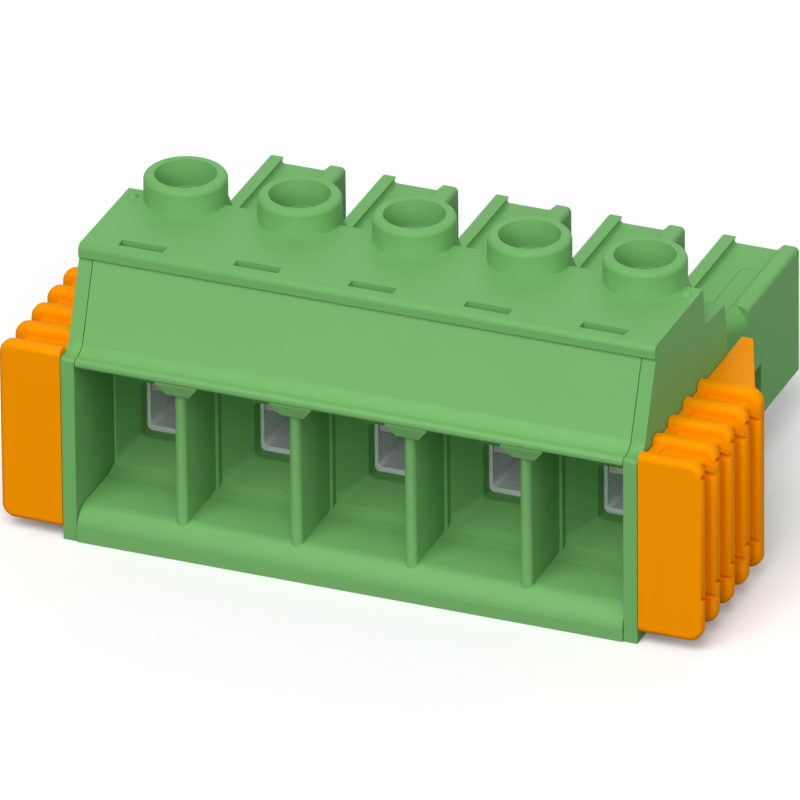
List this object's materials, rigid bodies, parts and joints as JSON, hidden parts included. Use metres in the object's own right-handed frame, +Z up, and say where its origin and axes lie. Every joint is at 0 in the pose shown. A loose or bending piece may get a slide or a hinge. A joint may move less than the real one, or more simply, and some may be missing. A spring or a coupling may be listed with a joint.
{
  "type": "pluggable terminal block",
  "caption": "Pluggable terminal block: green plug housing with screw-driven cage clamps behind funnel wire entries, coded contact chambers and ribbed orange side latches.",
  "frame": {"origin": "middle of the foot of the bounding box, on the plane the plug stands on", "axes": "+X along the poles, +Y from the wire side to the mating side, +Z up towards the screw collars"},
  "size_m": [0.0466, 0.0314, 0.0207],
  "materials": {
    "housing_green": "fine satin moulding",
    "insert_green": "fine satin moulding",
    "latch_orange": "satin moulding",
    "cage_steel": "zinc plated",
    "screw_steel": "zinc plated",
    "bar_tinned": "tin plated",
    "spring_steel": "plain spring steel"
  },
  "bodies": {
    "plug_body": {"outer_housing": "housing_green", "front_insert": "insert_green", "current_bar_1": "bar_tinned", "current_bar_2": "bar_tinned", "current_bar_3": "bar_tinned", "current_bar_4": "bar_tinned", "current_bar_5": "bar_tinned", "contact_spring_1": "spring_steel", "contact_spring_2": "spring_steel", "contact_spring_3": "spring_steel", "contact_spring_4": "spring_steel", "contact_spring_5": "spring_steel"},
    "screw_1": {"clamp_screw_1": "screw_steel"},
    "cage_1": {"clamp_cage_1": "cage_steel"},
    "screw_2": {"clamp_screw_2": "screw_steel"},
    "cage_2": {"clamp_cage_2": "cage_steel"},
    "screw_3": {"clamp_screw_3": "screw_steel"},
    "cage_3": {"clamp_cage_3": "cage_steel"},
    "screw_4": {"clamp_screw_4": "screw_steel"},
    "cage_4": {"clamp_cage_4": "cage_steel"},
    "screw_5": {"clamp_screw_5": "screw_steel"},
    "cage_5": {"clamp_cage_5": "cage_steel"},
    "latch_left_slide": {"latch_left": "latch_orange"},
    "latch_right_slide": {"latch_right": "latch_orange"}
  },
  "joints": [
    {"name": "screw_1_turn", "type": "hinge", "parent": "plug_body", "child": "screw_1", "pos_m": [-0.01524, -0.00422, 0.0136], "axis": [0, 0, -1], "range_deg": [0, 1728.1]},
    {"name": "cage_1_lift", "type": "slide", "parent": "plug_body", "child": "cage_1", "axis": [0, 0, 1], "range_m": [0, 0.0024]},
    {"name": "screw_2_turn", "type": "hinge", "parent": "plug_body", "child": "screw_2", "pos_m": [-0.00762, -0.00422, 0.0136], "axis": [0, 0, -1], "range_deg": [0, 1728.1]},
    {"name": "cage_2_lift", "type": "slide", "parent": "plug_body", "child": "cage_2", "axis": [0, 0, 1], "range_m": [0, 0.0024]},
    {"name": "screw_3_turn", "type": "hinge", "parent": "plug_body", "child": "screw_3", "pos_m": [0, -0.00422, 0.0136], "axis": [0, 0, -1], "range_deg": [0, 1728.1]},
    {"name": "cage_3_lift", "type": "slide", "parent": "plug_body", "child": "cage_3", "axis": [0, 0, 1], "range_m": [0, 0.0024]},
    {"name": "screw_4_turn", "type": "hinge", "parent": "plug_body", "child": "screw_4", "pos_m": [0.00762, -0.00422, 0.0136], "axis": [0, 0, -1], "range_deg": [0, 1728.1]},
    {"name": "cage_4_lift", "type": "slide", "parent": "plug_body", "child": "cage_4", "axis": [0, 0, 1], "range_m": [0, 0.0024]},
    {"name": "screw_5_turn", "type": "hinge", "parent": "plug_body", "child": "screw_5", "pos_m": [0.01524, -0.00422, 0.0136], "axis": [0, 0, -1], "range_deg": [0, 1728.1]},
    {"name": "cage_5_lift", "type": "slide", "parent": "plug_body", "child": "cage_5", "axis": [0, 0, 1], "range_m": [0, 0.0024]},
    {"name": "latch_left_release", "type": "slide", "parent": "plug_body", "child": "latch_left_slide", "axis": [0, -1, 0], "range_m": [0, 0.002]},
    {"name": "latch_right_release", "type": "slide", "parent": "plug_body", "child": "latch_right_slide", "axis": [0, -1, 0], "range_m": [0, 0.002]}
  ],
  "couplings": [
    {"joint": "screw_1_turn", "follows": "cage_1_lift", "rad_per_m": 12566},
    {"joint": "screw_2_turn", "follows": "cage_2_lift", "rad_per_m": 12566},
    {"joint": "screw_3_turn", "follows": "cage_3_lift", "rad_per_m": 12566},
    {"joint": "screw_4_turn", "follows": "cage_4_lift", "rad_per_m": 12566},
    {"joint": "screw_5_turn", "follows": "cage_5_lift", "rad_per_m": 12566}
  ]
}
